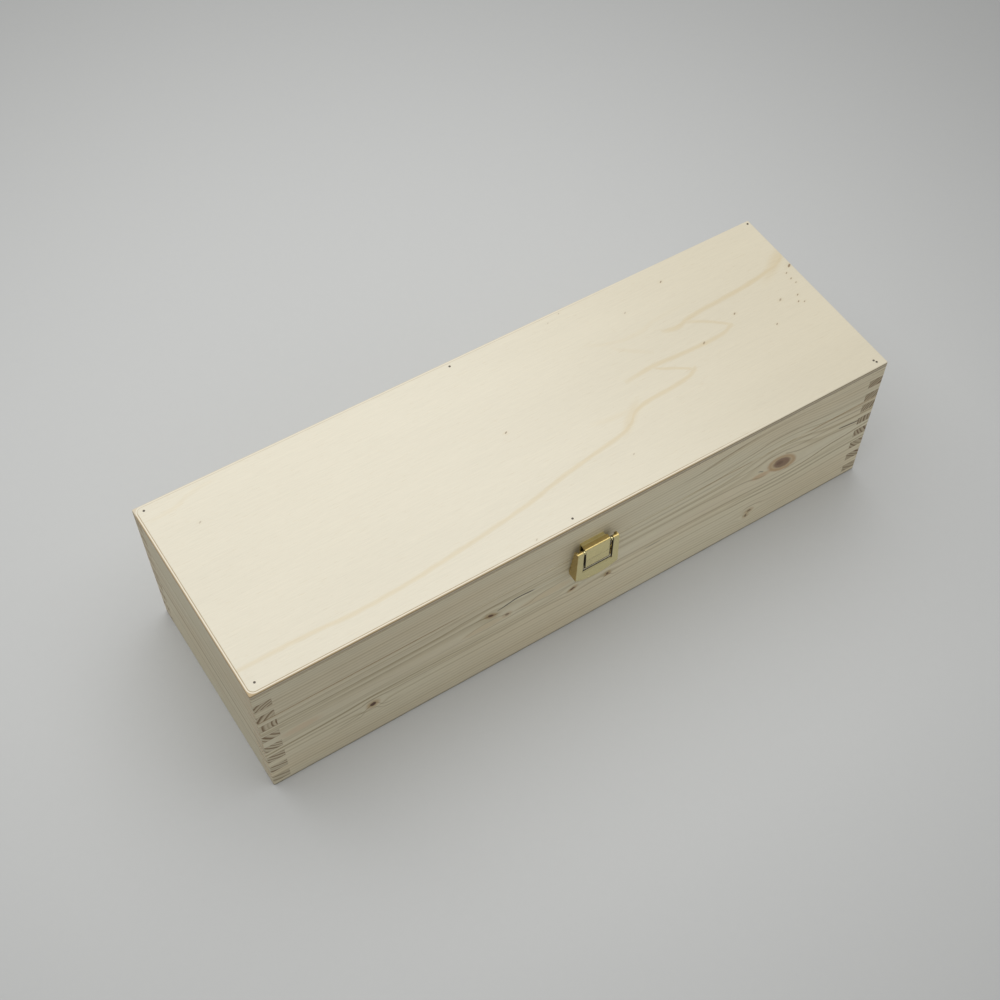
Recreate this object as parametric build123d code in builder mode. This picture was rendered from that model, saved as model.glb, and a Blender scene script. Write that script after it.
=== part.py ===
from build123d import *
import os

# A finger-jointed wooden bottle box: a pine carcass sawn into a box and a lid frame,
# a nailed plywood top, a let-in bottom, two brass hinges on the back and a brass
# draw latch on the front. Millimetres. The origin is the centre of the underside,
# +X runs along the box, -Y is the front and +Z is up.

os.makedirs("parts", exist_ok=True)

# ---------------------------------------------------------------- driving dimensions
LENGTH = 350.0
WIDTH = 114.0
HEIGHT = 86.0
WALL = 9.0
SPLIT = 61.0                # height of the saw cut between box and lid
PLY = 3.0                   # top and bottom panels
FRAME_TOP = HEIGHT - PLY
FRONT = -WIDTH / 2
BACK = WIDTH / 2

FINGER = 4.97               # finger joints: one finger, and twice that is the pitch
FIRST_BOX_FINGER = 3.3      # lowest end-board finger on the front face
BOX_FINGERS = 6
FIRST_LID_FINGER = 61.55    # a pitch up, less the width of the saw cut
LID_FINGERS = 2

CORNER_ROUND = 0.8          # sanded vertical corners of the carcass
BOTTOM_ROUND = 0.7
SAW_ARRIS = 0.3             # broken edges along the saw cut
TOP_ARRIS = 0.25            # the frame's top edge, a shadow line under the panel
RABBET = 4.4                # width of the step that takes the bottom panel
PANEL_GAP = 0.1
PANEL_CORNER = 0.8
PANEL_TOP_ROUND = 0.5
PANEL_BOTTOM_ROUND = 0.25

NAIL_GAP = 0.02             # hole radius over nail radius
NAIL_DOME_BULGE = (0.62, 0.72)  # a dome's middle, as shares of its radius and height
CUT_PAST = 1.0              # how far cutting shapes run past what they cut
TOP_NAIL_HEAD_R = 0.58
TOP_NAIL_R = 0.43
TOP_NAIL_LENGTH = 17.0
TOP_NAIL_SUNK = 0.25
TOP_NAILS = [
    (-170.5, 53.5),
    (-9.3, 53.7),
    (173.2, 54.9),
    (-169.7, -51.6),
    (-8.9, -52.7),
    (169.4, -52.4),
    (170.1, -53.9),
]
BOTTOM_NAIL_HEAD_R = 1.0
BOTTOM_NAIL_R = 0.6
BOTTOM_NAIL_LENGTH = 14.0
BOTTOM_NAIL_SUNK = 0.2
BOTTOM_NAIL_INSET = 6.9     # from the outer face, over the middle of the rabbet
BOTTOM_NAIL_X = [-150.0, -50.0, 50.0, 150.0]

HINGE_X = 105.0
HINGE_WIDTH = 25.0
HINGE_LEAF = 0.9
HINGE_REACH = 16.0          # from the pin axis to a leaf's far edge
HINGE_KNUCKLE_R = 1.9
HINGE_PIN_R = 0.9
HINGE_PIN_HEAD_R = 1.5
HINGE_PIN_HEAD = 0.6
HINGE_PIN_ROUND = 0.42
HINGE_BORE_GAP = 0.05
HINGE_SEGMENTS = 5
HINGE_SEGMENT_GAP = 0.2
HINGE_AXIS_Y = BACK + HINGE_KNUCKLE_R + 0.1
HINGE_NAIL_SPREAD = 16.0
HINGE_NAIL_Z = 10.0         # from the pin axis
HINGE_NAIL_HEAD_R = 1.5
HINGE_NAIL_R = 0.7
HINGE_NAIL_LENGTH = 8.2
HINGE_NAIL_DOME = 0.55
HINGE_LEAF_CORNER = 1.6
HINGE_CLEAR = 0.2           # round the knuckles, and behind the webs that carry them

# Draw latch. Depths are measured outwards from the front face of the box.
LATCH_X = -0.2
LATCH_SHEET = 0.8
LATCH_CUT_HALF = 14.0       # half length of cuts that run past the whole latch
LEVER_TOP_HALF = 11.5
LEVER_BOTTOM_HALF = 12.05
LEVER_FRONT = 6.2
LEVER_FOOT_Z = 45.7         # side view: the front sheet's lowest edge
LEVER_TAIL = (2.2, 47.8)    # side view, depth and height: between foot and heel
LEVER_HEEL = (0.35, 51.3)   # side view: the side walls' lower end at the wood
LEVER_NECK = (2.9, 69.4)    # side view: the walls widen downwards from here to the heel
LEVER_SHOULDER = (3.6, 70.1)
LEVER_CROWN = (5.1, 70.2)   # side view: the walls' tops, just inside the knuckles
LEVER_TEMPLE = (5.85, 69.95)
LEVER_BROW_Z = 69.4
LEVER_EDGE_ROUND = 0.35
LEVER_MARGIN = 4.0          # how far cuts run past the lever
LEVER_CORNER_Z = 49.4
LEVER_LOW_Z = 46.4
WINDOW_HALF = 8.1
WINDOW_Z = 54.8
WINDOW_BEVEL = 1.2
LEVER_PIVOT_D = 5.1
LEVER_PIVOT_Z = 69.1
LEVER_KNUCKLE_R = 1.25
LEVER_KNUCKLE_END = 11.3
LEVER_PIN_R = 0.6
LEVER_PIN_END = 11.2        # the pins stop inside the knuckles
HOOK_HALF = 7.05
HOOK_SHEET = 0.7
HOOK_FRONT = 5.9
HOOK_TOP_Z = 70.3
HOOK_LOW_Z = 56.6
HOOK_BACK = 2.45
HOOK_BEND_R = 0.9
HOOK_CREASE_Z = 62.3
HOOK_LEAN = 0.4             # how far the upper half of the plate leans back
HOOK_PIVOT_D = 3.6
HOOK_PIVOT_Z = 59.0
HOOK_CURL_R = 1.8
HOOK_PIN_R = 1.0
HOOK_PIN_END = 11.45        # the pin stops inside the lever's side walls
LATCH_BORE_GAP = 0.05
LATCH_BORE_DEEPER = 0.05    # how much further a blind bore goes than its pin
EAR_INNER = 7.3
EAR_OUTER = 8.0
EAR_HEAD_R = 1.0
EAR_FOOT_Z = 58.2
BASE_SHEET = 0.7
BASE_HALF = 8.0
BASE_CORNER = 1.5
BASE_LOW_Z = 47.2
BASE_TOP_Z = 60.3
BASE_NAIL_Z = 51.5
BASE_NAIL_SPREAD = 9.0
KEEPER_HALF = 6.5
KEEPER_LOW_Z = 61.8
KEEPER_TOP_Z = 69.3
KEEPER_DEPTH = 3.6
KEEPER_NAIL_Z = 64.4
KEEPER_NAIL_SPREAD = 7.6
LATCH_NAIL_HEAD_R = 1.1
LATCH_NAIL_R = 0.55
LATCH_NAIL_LENGTH = 7.0
LATCH_NAIL_DOME = 0.45


# ---------------------------------------------------------------- helpers
def save(part, label):
    part.label = label
    export_step(part, f"parts/{label}.step")


def out_of_front(depth):
    """The Y of a point that stands this far out of the front face."""
    return FRONT - depth


def flat_nail(shank_radius, head_radius, length):
    """A panel nail with a thin flat head, its top at the origin, pointing down."""
    head = head_radius - shank_radius
    with BuildPart() as nail:
        with BuildSketch(Plane.XZ):
            with BuildLine():
                Polyline(
                    (0, 0),
                    (head_radius, 0),
                    (head_radius, -head),
                    (shank_radius, -2 * head),
                    (shank_radius, 2 * shank_radius - length),
                    (0, -length),
                    close=True,
                )
            make_face()
        revolve(axis=Axis.Z)
    return nail.part


def domed_nail(shank_radius, head_radius, dome, length):
    """A round-headed pin; the head sits on the origin's plane, the shank points down."""
    with BuildPart() as nail:
        with BuildSketch(Plane.XZ):
            with BuildLine():
                ThreePointArc(
                    (0, dome),
                    (NAIL_DOME_BULGE[0] * head_radius, NAIL_DOME_BULGE[1] * dome),
                    (head_radius, 0),
                )
                Polyline(
                    (head_radius, 0),
                    (shank_radius, 0),
                    (shank_radius, 2 * shank_radius - length),
                    (0, -length),
                    (0, dome),
                )
            make_face()
        revolve(axis=Axis.Z)
    return nail.part


def nail_group(nail, planes, label):
    with BuildPart() as group:
        with Locations(*planes):
            add(nail)
    save(group.part, label)


def cut_nails(nail, planes):
    """Take the space of the nails out of the part being built."""
    with Locations(*planes):
        add(nail, mode=Mode.SUBTRACT)


def box_between(low, high, mode=Mode.ADD):
    size = [b - a for a, b in zip(low, high)]
    centre = [(a + b) / 2 for a, b in zip(low, high)]
    with Locations(tuple(centre)):
        Box(*size, mode=mode)


# ---------------------------------------------------------------- nails and their places
def panel_planes(places, z, up):
    return [Plane(origin=(x, y, z), x_dir=(1, 0, 0), z_dir=(0, 0, up)) for x, y in places]


def wall_planes(places, y, outwards):
    return [
        Plane(origin=(x, y, z), x_dir=(1, 0, 0), z_dir=(0, outwards, 0)) for x, z in places
    ]


BOTTOM_PLACES = [
    (x, side * (WIDTH / 2 - BOTTOM_NAIL_INSET)) for x in BOTTOM_NAIL_X for side in (-1, 1)
]
BOTTOM_PLACES += [(side * (LENGTH / 2 - BOTTOM_NAIL_INSET), 0) for side in (-1, 1)]

top_planes = panel_planes(TOP_NAILS, HEIGHT - TOP_NAIL_SUNK, 1)
top_nail = flat_nail(TOP_NAIL_R, TOP_NAIL_HEAD_R, TOP_NAIL_LENGTH)
top_hole = flat_nail(TOP_NAIL_R + NAIL_GAP, TOP_NAIL_HEAD_R + NAIL_GAP, TOP_NAIL_LENGTH + NAIL_GAP)

bottom_planes = panel_planes(BOTTOM_PLACES, BOTTOM_NAIL_SUNK, -1)
bottom_nail = flat_nail(BOTTOM_NAIL_R, BOTTOM_NAIL_HEAD_R, BOTTOM_NAIL_LENGTH)
bottom_hole = flat_nail(
    BOTTOM_NAIL_R + NAIL_GAP, BOTTOM_NAIL_HEAD_R + NAIL_GAP, BOTTOM_NAIL_LENGTH + NAIL_GAP
)

hinge_nail = domed_nail(HINGE_NAIL_R, HINGE_NAIL_HEAD_R, HINGE_NAIL_DOME, HINGE_NAIL_LENGTH)
latch_nail = domed_nail(LATCH_NAIL_R, LATCH_NAIL_HEAD_R, LATCH_NAIL_DOME, LATCH_NAIL_LENGTH)

HINGE_COLUMNS = [
    side * HINGE_X + offset * HINGE_NAIL_SPREAD / 2 for side in (-1, 1) for offset in (-1, 1)
]
hinge_box_planes = wall_planes(
    [(x, SPLIT - HINGE_NAIL_Z) for x in HINGE_COLUMNS], BACK + HINGE_LEAF, 1
)
hinge_lid_planes = wall_planes(
    [(x, SPLIT + HINGE_NAIL_Z) for x in HINGE_COLUMNS], BACK + HINGE_LEAF, 1
)
base_planes = wall_planes(
    [(LATCH_X + side * BASE_NAIL_SPREAD / 2, BASE_NAIL_Z) for side in (-1, 1)],
    out_of_front(BASE_SHEET),
    -1,
)
keeper_planes = wall_planes(
    [(LATCH_X + side * KEEPER_NAIL_SPREAD / 2, KEEPER_NAIL_Z) for side in (-1, 1)],
    out_of_front(BASE_SHEET),
    -1,
)


# ---------------------------------------------------------------- carcass boards
def ring(bottom, top):
    """Four walls in one piece, from which the boards are cut."""
    with BuildPart() as walls:
        with BuildSketch(Plane.XY.offset(bottom)):
            RectangleRounded(LENGTH, WIDTH, CORNER_ROUND)
        extrude(amount=top - bottom)
        lower_edges = walls.faces().sort_by(Axis.Z)[0].edges()
        upper_edges = walls.faces().sort_by(Axis.Z)[-1].edges()
        if bottom == 0:
            fillet(lower_edges, BOTTOM_ROUND)
            chamfer(upper_edges, SAW_ARRIS)
        else:
            chamfer(lower_edges, SAW_ARRIS)
            chamfer(upper_edges, TOP_ARRIS)
        with BuildSketch(Plane.XY.offset(bottom)):
            Rectangle(LENGTH - 2 * WALL, WIDTH - 2 * WALL)
        extrude(amount=top - bottom, mode=Mode.SUBTRACT)
        if bottom == 0:
            with BuildSketch(Plane.XY):
                Rectangle(LENGTH - 2 * WALL + 2 * RABBET, WIDTH - 2 * WALL + 2 * RABBET)
            extrude(amount=PLY, mode=Mode.SUBTRACT)
    return walls.part


def finger_bands(first, count, bottom, top, of_end_boards):
    """Height spans of the end boards' fingers, or of the spans between them."""
    spans = [(first + 2 * FINGER * i, first + 2 * FINGER * i + FINGER) for i in range(count)]
    if of_end_boards:
        return spans
    starts = [bottom] + [high for low, high in spans]
    ends = [low for low, high in spans] + [top]
    return list(zip(starts, ends))


def cut_corners(bands, corners):
    """Open the places of the other boards' fingers at the named corners."""
    for low, high in bands:
        for side_x, side_y in corners:
            box_between(
                (
                    min(side_x * LENGTH / 2, side_x * (LENGTH / 2 - WALL)),
                    min(side_y * WIDTH / 2, side_y * (WIDTH / 2 - WALL)),
                    low,
                ),
                (
                    max(side_x * LENGTH / 2, side_x * (LENGTH / 2 - WALL)),
                    max(side_y * WIDTH / 2, side_y * (WIDTH / 2 - WALL)),
                    high,
                ),
                mode=Mode.SUBTRACT,
            )


def long_board(walls, side, bands, drilled, label):
    """Front (side -1) or back (side 1) board, with its nail holes."""
    with BuildPart() as board:
        add(walls)
        box_between(
            (-LENGTH, min(side * WIDTH, side * (WIDTH / 2 - WALL)), -CUT_PAST),
            (LENGTH, max(side * WIDTH, side * (WIDTH / 2 - WALL)), HEIGHT),
            mode=Mode.INTERSECT,
        )
        cut_corners(bands, [(-1, side), (1, side)])
        for nail, planes in drilled:
            cut_nails(nail, planes)
    save(board.part, label)


def end_board(walls, side, bands, drilled, label):
    """Left (side -1) or right (side 1) board, with its nail holes."""
    with BuildPart() as board:
        add(walls)
        box_between(
            (min(side * LENGTH, side * (LENGTH / 2 - WALL)), -WIDTH, -CUT_PAST),
            (max(side * LENGTH, side * (LENGTH / 2 - WALL)), WIDTH, HEIGHT),
            mode=Mode.INTERSECT,
        )
        cut_corners(bands, [(side, -1), (side, 1)])
        for nail, planes in drilled:
            cut_nails(nail, planes)
    save(board.part, label)


def near(planes, low, high, axis):
    """The planes whose origin lies between two values along an axis."""
    return [plane for plane in planes if low < getattr(plane.origin, axis) < high]


box_walls = ring(0, SPLIT)
lid_walls = ring(SPLIT, FRAME_TOP)
box_end_bands = finger_bands(FIRST_BOX_FINGER, BOX_FINGERS, 0, SPLIT, True)
box_long_bands = finger_bands(FIRST_BOX_FINGER, BOX_FINGERS, 0, SPLIT, False)
lid_end_bands = finger_bands(FIRST_LID_FINGER, LID_FINGERS, SPLIT, FRAME_TOP, True)
lid_long_bands = finger_bands(FIRST_LID_FINGER, LID_FINGERS, SPLIT, FRAME_TOP, False)
bottom_front = near(bottom_planes, FRONT, FRONT + WALL, "Y")
bottom_back = near(bottom_planes, BACK - WALL, BACK, "Y")
bottom_left = near(bottom_planes, -LENGTH / 2, -LENGTH / 2 + WALL, "X")
bottom_right = near(bottom_planes, LENGTH / 2 - WALL, LENGTH / 2, "X")
top_front = near(top_planes, FRONT, FRONT + WALL, "Y")
top_back = near(top_planes, BACK - WALL, BACK, "Y")

long_board(
    box_walls, -1, box_end_bands, [(bottom_hole, bottom_front), (latch_nail, base_planes)],
    "front_board",
)
long_board(
    box_walls, 1, box_end_bands, [(bottom_hole, bottom_back), (hinge_nail, hinge_box_planes)],
    "back_board",
)
end_board(box_walls, -1, box_long_bands, [(bottom_hole, bottom_left)], "left_end_board")
end_board(box_walls, 1, box_long_bands, [(bottom_hole, bottom_right)], "right_end_board")
long_board(
    lid_walls, -1, lid_end_bands, [(top_hole, top_front), (latch_nail, keeper_planes)],
    "lid_front_rail",
)
long_board(
    lid_walls, 1, lid_end_bands, [(top_hole, top_back), (hinge_nail, hinge_lid_planes)],
    "lid_back_rail",
)
end_board(lid_walls, -1, lid_long_bands, [(top_hole, top_planes)], "lid_left_rail")
end_board(lid_walls, 1, lid_long_bands, [(top_hole, top_planes)], "lid_right_rail")


# ---------------------------------------------------------------- panels and their nails
with BuildPart() as bottom_panel:
    with BuildSketch(Plane.XY):
        Rectangle(
            LENGTH - 2 * WALL + 2 * (RABBET - PANEL_GAP),
            WIDTH - 2 * WALL + 2 * (RABBET - PANEL_GAP),
        )
    extrude(amount=PLY)
    cut_nails(bottom_hole, bottom_planes)
save(bottom_panel.part, "bottom_panel")

with BuildPart() as lid_top_panel:
    with BuildSketch(Plane.XY.offset(FRAME_TOP)):
        RectangleRounded(LENGTH, WIDTH, PANEL_CORNER)
    extrude(amount=PLY)
    fillet(lid_top_panel.faces().sort_by(Axis.Z)[-1].edges(), PANEL_TOP_ROUND)
    fillet(lid_top_panel.faces().sort_by(Axis.Z)[0].edges(), PANEL_BOTTOM_ROUND)
    cut_nails(top_hole, top_planes)
    for plane in top_planes:
        with BuildSketch(plane):
            Circle(TOP_NAIL_HEAD_R + NAIL_GAP)
        extrude(amount=2 * TOP_NAIL_SUNK, mode=Mode.SUBTRACT)
save(lid_top_panel.part, "lid_top_panel")

nail_group(bottom_nail, bottom_planes, "bottom_nails")
nail_group(top_nail, top_planes, "lid_top_nails")


# ---------------------------------------------------------------- hinges
SEGMENT = HINGE_WIDTH / HINGE_SEGMENTS


def hinge_leaf(centre_x, direction, segments, planes, label):
    """A leaf below (direction -1) or above (direction 1) the pin, with its knuckles."""
    start_x = centre_x - HINGE_WIDTH / 2
    near_z = SPLIT + direction * (HINGE_KNUCKLE_R + HINGE_CLEAR)
    far_z = SPLIT + direction * HINGE_REACH
    web_centre = (BACK + (HINGE_LEAF + HINGE_CLEAR) / 2, SPLIT + direction * HINGE_REACH / 4)
    with BuildPart() as leaf:
        box_between(
            (start_x, BACK, min(near_z, far_z)),
            (start_x + HINGE_WIDTH, BACK + HINGE_LEAF, max(near_z, far_z)),
        )
        far_corners = (
            leaf.edges().filter_by(Axis.Y).sort_by(Axis.Z, reverse=direction > 0)[:2]
        )
        fillet(far_corners, HINGE_LEAF_CORNER)
        for index in segments:
            knuckle_x = start_x + index * SEGMENT + HINGE_SEGMENT_GAP / 2
            with BuildSketch(Plane.YZ.offset(knuckle_x)):
                with Locations((HINGE_AXIS_Y, SPLIT)):
                    Circle(HINGE_KNUCKLE_R)
                with Locations(web_centre):
                    Rectangle(HINGE_LEAF - HINGE_CLEAR, HINGE_REACH / 2)
            extrude(amount=SEGMENT - HINGE_SEGMENT_GAP)
        with BuildSketch(Plane.YZ.offset(start_x - CUT_PAST)):
            with Locations((HINGE_AXIS_Y, SPLIT)):
                Circle(HINGE_PIN_R + HINGE_BORE_GAP)
        extrude(amount=HINGE_WIDTH + 2 * CUT_PAST, mode=Mode.SUBTRACT)
        cut_nails(hinge_nail, planes)
    save(leaf.part, label)


def hinge_pin(centre_x, label):
    with BuildPart() as pin:
        with BuildSketch(Plane.YZ.offset(centre_x - HINGE_WIDTH / 2)):
            with Locations((HINGE_AXIS_Y, SPLIT)):
                Circle(HINGE_PIN_R)
        extrude(amount=HINGE_WIDTH)
        for end_x, way in ((centre_x - HINGE_WIDTH / 2, -1), (centre_x + HINGE_WIDTH / 2, 1)):
            with BuildSketch(Plane.YZ.offset(end_x)):
                with Locations((HINGE_AXIS_Y, SPLIT)):
                    Circle(HINGE_PIN_HEAD_R)
            extrude(amount=way * HINGE_PIN_HEAD)
        round_edges = pin.edges().filter_by(GeomType.CIRCLE).sort_by(Axis.X)
        fillet([round_edges[0], round_edges[-1]], HINGE_PIN_ROUND)
    save(pin.part, label)


for side, name in ((-1, "left"), (1, "right")):
    x = side * HINGE_X
    low = x - HINGE_WIDTH / 2
    high = x + HINGE_WIDTH / 2
    hinge_leaf(x, -1, (0, 2, 4), near(hinge_box_planes, low, high, "X"), f"{name}_hinge_box_leaf")
    hinge_leaf(x, 1, (1, 3), near(hinge_lid_planes, low, high, "X"), f"{name}_hinge_lid_leaf")
    hinge_pin(x, f"{name}_hinge_pin")
nail_group(hinge_nail, hinge_box_planes, "hinge_box_nails")
nail_group(hinge_nail, hinge_lid_planes, "hinge_lid_nails")


# ---------------------------------------------------------------- draw latch
def latch_disc(depth, z, radius, start_x, end_x, mode=Mode.ADD):
    """A round bar or bore along X at a depth and height in front of the box."""
    middle = ((start_x + end_x) / 2, out_of_front(depth), z)
    with Locations(Location(middle, (0, 90, 0))):
        Cylinder(radius, end_x - start_x, mode=mode)


with BuildPart() as clasp_base:
    box_between(
        (LATCH_X - BASE_HALF, out_of_front(BASE_SHEET), BASE_LOW_Z),
        (LATCH_X + BASE_HALF, FRONT, BASE_TOP_Z),
    )
    fillet(clasp_base.edges().filter_by(Axis.Y).sort_by(Axis.Z)[:2], BASE_CORNER)
    for side in (-1, 1):
        ear_start = LATCH_X + (EAR_INNER if side > 0 else -EAR_OUTER)
        with BuildSketch(Plane.YZ.offset(ear_start)):
            with BuildLine():
                Polyline(
                    (out_of_front(0), EAR_FOOT_Z),
                    (out_of_front(0), BASE_TOP_Z),
                    (out_of_front(LEVER_PIVOT_D - EAR_HEAD_R), LEVER_PIVOT_Z),
                    (out_of_front(LEVER_PIVOT_D + EAR_HEAD_R), LEVER_PIVOT_Z),
                    (out_of_front(BASE_SHEET), EAR_FOOT_Z),
                    close=True,
                )
            make_face()
            with Locations((out_of_front(LEVER_PIVOT_D), LEVER_PIVOT_Z)):
                Circle(EAR_HEAD_R)
        extrude(amount=EAR_OUTER - EAR_INNER)
    latch_disc(
        LEVER_PIVOT_D, LEVER_PIVOT_Z, LEVER_PIN_R + NAIL_GAP,
        LATCH_X - LATCH_CUT_HALF, LATCH_X + LATCH_CUT_HALF,
        mode=Mode.SUBTRACT,
    )
    cut_nails(latch_nail, base_planes)
save(clasp_base.part, "clasp_base")

# Two short pins, one in each ear, so that the hook's bend can fill the middle.
with BuildPart() as lever_pins:
    for start_x, end_x in ((-LEVER_PIN_END, -EAR_INNER), (EAR_INNER, LEVER_PIN_END)):
        latch_disc(
            LEVER_PIVOT_D, LEVER_PIVOT_Z, LEVER_PIN_R, LATCH_X + start_x, LATCH_X + end_x
        )
save(lever_pins.part, "lever_pins")

with BuildPart() as clasp_lever:
    # The side view, full width: straight front and back, a swept tail, a rounded top.
    foot = (out_of_front(LEVER_FRONT), LEVER_FOOT_Z)
    tail = (out_of_front(LEVER_TAIL[0]), LEVER_TAIL[1])
    heel = (out_of_front(LEVER_HEEL[0]), LEVER_HEEL[1])
    neck = (out_of_front(LEVER_NECK[0]), LEVER_NECK[1])
    shoulder = (out_of_front(LEVER_SHOULDER[0]), LEVER_SHOULDER[1])
    crown = (out_of_front(LEVER_CROWN[0]), LEVER_CROWN[1])
    temple = (out_of_front(LEVER_TEMPLE[0]), LEVER_TEMPLE[1])
    brow = (out_of_front(LEVER_FRONT), LEVER_BROW_Z)
    with BuildSketch(Plane.YZ.offset(LATCH_X - LATCH_CUT_HALF)):
        with BuildLine():
            Line(brow, foot)
            ThreePointArc(foot, tail, heel)
            Line(heel, neck)
            ThreePointArc(neck, shoulder, crown)
            ThreePointArc(crown, temple, brow)
        make_face()
    extrude(amount=2 * LATCH_CUT_HALF)
    # The front view: a slight flare and a bowed lower edge.
    with BuildSketch(Plane.XZ.offset(WIDTH / 2 - LEVER_MARGIN)):
        with BuildLine():
            ThreePointArc(
                (LATCH_X - LEVER_BOTTOM_HALF, LEVER_CORNER_Z),
                (LATCH_X, LEVER_LOW_Z),
                (LATCH_X + LEVER_BOTTOM_HALF, LEVER_CORNER_Z),
            )
            Polyline(
                (LATCH_X + LEVER_BOTTOM_HALF, LEVER_CORNER_Z),
                (LATCH_X + LEVER_TOP_HALF, LEVER_PIVOT_Z + LEVER_MARGIN),
                (LATCH_X - LEVER_TOP_HALF, LEVER_PIVOT_Z + LEVER_MARGIN),
                (LATCH_X - LEVER_BOTTOM_HALF, LEVER_CORNER_Z),
            )
        make_face()
    extrude(amount=LEVER_FRONT + 2 * LEVER_MARGIN, mode=Mode.INTERSECT)
    front_face = clasp_lever.faces().filter_by(Axis.Y).sort_by(Axis.Y)[0]
    side_edges = front_face.edges().group_by(SortBy.LENGTH)[-1]
    fillet(side_edges, LEVER_EDGE_ROUND)
    # The hollow behind the sheet.
    with BuildSketch(Plane.XZ.offset(WIDTH / 2 - LEVER_MARGIN)):
        with BuildLine():
            Polyline(
                (LATCH_X + LEVER_BOTTOM_HALF - LATCH_SHEET, LEVER_FOOT_Z - LEVER_MARGIN),
                (LATCH_X + LEVER_TOP_HALF - LATCH_SHEET, LEVER_PIVOT_Z + LEVER_MARGIN),
                (LATCH_X - LEVER_TOP_HALF + LATCH_SHEET, LEVER_PIVOT_Z + LEVER_MARGIN),
                (LATCH_X - LEVER_BOTTOM_HALF + LATCH_SHEET, LEVER_FOOT_Z - LEVER_MARGIN),
                close=True,
            )
        make_face()
    extrude(amount=LEVER_MARGIN + LEVER_FRONT - LATCH_SHEET, mode=Mode.SUBTRACT)
    # Rolled knuckles on the arms' tops, then the window and the blind bores.
    latch_disc(
        LEVER_PIVOT_D, LEVER_PIVOT_Z, LEVER_KNUCKLE_R,
        LATCH_X - LEVER_KNUCKLE_END, LATCH_X + LEVER_KNUCKLE_END,
    )
    box_between(
        (LATCH_X - WINDOW_HALF, out_of_front(LEVER_FRONT + LEVER_MARGIN), WINDOW_Z),
        (LATCH_X + WINDOW_HALF, out_of_front(-LEVER_MARGIN), LEVER_PIVOT_Z + LEVER_MARGIN),
        mode=Mode.SUBTRACT,
    )
    # The window's lower lip is bevelled back.
    with BuildSketch(Plane.YZ.offset(LATCH_X - WINDOW_HALF)):
        with BuildLine():
            Polyline(
                (out_of_front(LEVER_FRONT), WINDOW_Z - WINDOW_BEVEL),
                (out_of_front(LEVER_FRONT), WINDOW_Z),
                (out_of_front(LEVER_FRONT - WINDOW_BEVEL / 2), WINDOW_Z),
                close=True,
            )
        make_face()
    extrude(amount=2 * WINDOW_HALF, mode=Mode.SUBTRACT)
    lever_bore_half = LEVER_PIN_END + LATCH_BORE_DEEPER
    latch_disc(
        LEVER_PIVOT_D, LEVER_PIVOT_Z, LEVER_PIN_R + LATCH_BORE_GAP,
        LATCH_X - lever_bore_half, LATCH_X + lever_bore_half,
        mode=Mode.SUBTRACT,
    )
    hook_bore_half = HOOK_PIN_END + LATCH_BORE_DEEPER
    latch_disc(
        HOOK_PIVOT_D, HOOK_PIVOT_Z, HOOK_PIN_R + NAIL_GAP,
        LATCH_X - hook_bore_half, LATCH_X + hook_bore_half,
        mode=Mode.SUBTRACT,
    )
save(clasp_lever.part, "clasp_lever")

with BuildPart() as hook_pin:
    latch_disc(
        HOOK_PIVOT_D, HOOK_PIVOT_Z, HOOK_PIN_R, LATCH_X - HOOK_PIN_END, LATCH_X + HOOK_PIN_END
    )
save(hook_pin.part, "hook_pin")

with BuildPart() as clasp_hook:
    # A flat plate that leans back above a crease, turns over the keeper at its top and
    # has the barrel for its pin on its back.
    inner = HOOK_FRONT - HOOK_SHEET
    with BuildSketch(Plane.YZ.offset(LATCH_X - HOOK_HALF)):
        with BuildLine():
            Polyline(
                (out_of_front(HOOK_FRONT), HOOK_LOW_Z),
                (out_of_front(HOOK_FRONT), HOOK_CREASE_Z),
                (out_of_front(HOOK_FRONT - HOOK_LEAN), HOOK_TOP_Z),
                (out_of_front(HOOK_BACK), HOOK_TOP_Z),
                (out_of_front(HOOK_BACK), HOOK_TOP_Z - HOOK_SHEET),
                (out_of_front(inner - HOOK_LEAN), HOOK_TOP_Z - HOOK_SHEET),
                (out_of_front(inner), HOOK_CREASE_Z),
                (out_of_front(inner), HOOK_LOW_Z),
                close=True,
            )
        make_face()
    extrude(amount=2 * HOOK_HALF)
    bend_edges = clasp_hook.edges().filter_by(Axis.X)
    outer_bend = bend_edges.sort_by_distance((LATCH_X, out_of_front(HOOK_FRONT), HOOK_TOP_Z))[0]
    inner_bend = bend_edges.sort_by_distance(
        (LATCH_X, out_of_front(inner - HOOK_LEAN), HOOK_TOP_Z - HOOK_SHEET)
    )[0]
    fillet(outer_bend, HOOK_BEND_R)
    fillet(inner_bend, HOOK_BEND_R - HOOK_SHEET)
    latch_disc(
        HOOK_PIVOT_D, HOOK_PIVOT_Z, HOOK_CURL_R, LATCH_X - HOOK_HALF, LATCH_X + HOOK_HALF
    )
    latch_disc(
        HOOK_PIVOT_D, HOOK_PIVOT_Z, HOOK_PIN_R + LATCH_BORE_GAP,
        LATCH_X - LATCH_CUT_HALF, LATCH_X + LATCH_CUT_HALF,
        mode=Mode.SUBTRACT,
    )
save(clasp_hook.part, "clasp_hook")

with BuildPart() as clasp_keeper:
    box_between(
        (LATCH_X - KEEPER_HALF, out_of_front(BASE_SHEET), KEEPER_LOW_Z),
        (LATCH_X + KEEPER_HALF, FRONT, KEEPER_TOP_Z),
    )
    box_between(
        (LATCH_X - KEEPER_HALF, out_of_front(KEEPER_DEPTH), KEEPER_TOP_Z - BASE_SHEET),
        (LATCH_X + KEEPER_HALF, FRONT, KEEPER_TOP_Z),
    )
    cut_nails(latch_nail, keeper_planes)
save(clasp_keeper.part, "clasp_keeper")

nail_group(latch_nail, base_planes, "clasp_base_nails")
nail_group(latch_nail, keeper_planes, "keeper_nails")
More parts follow.
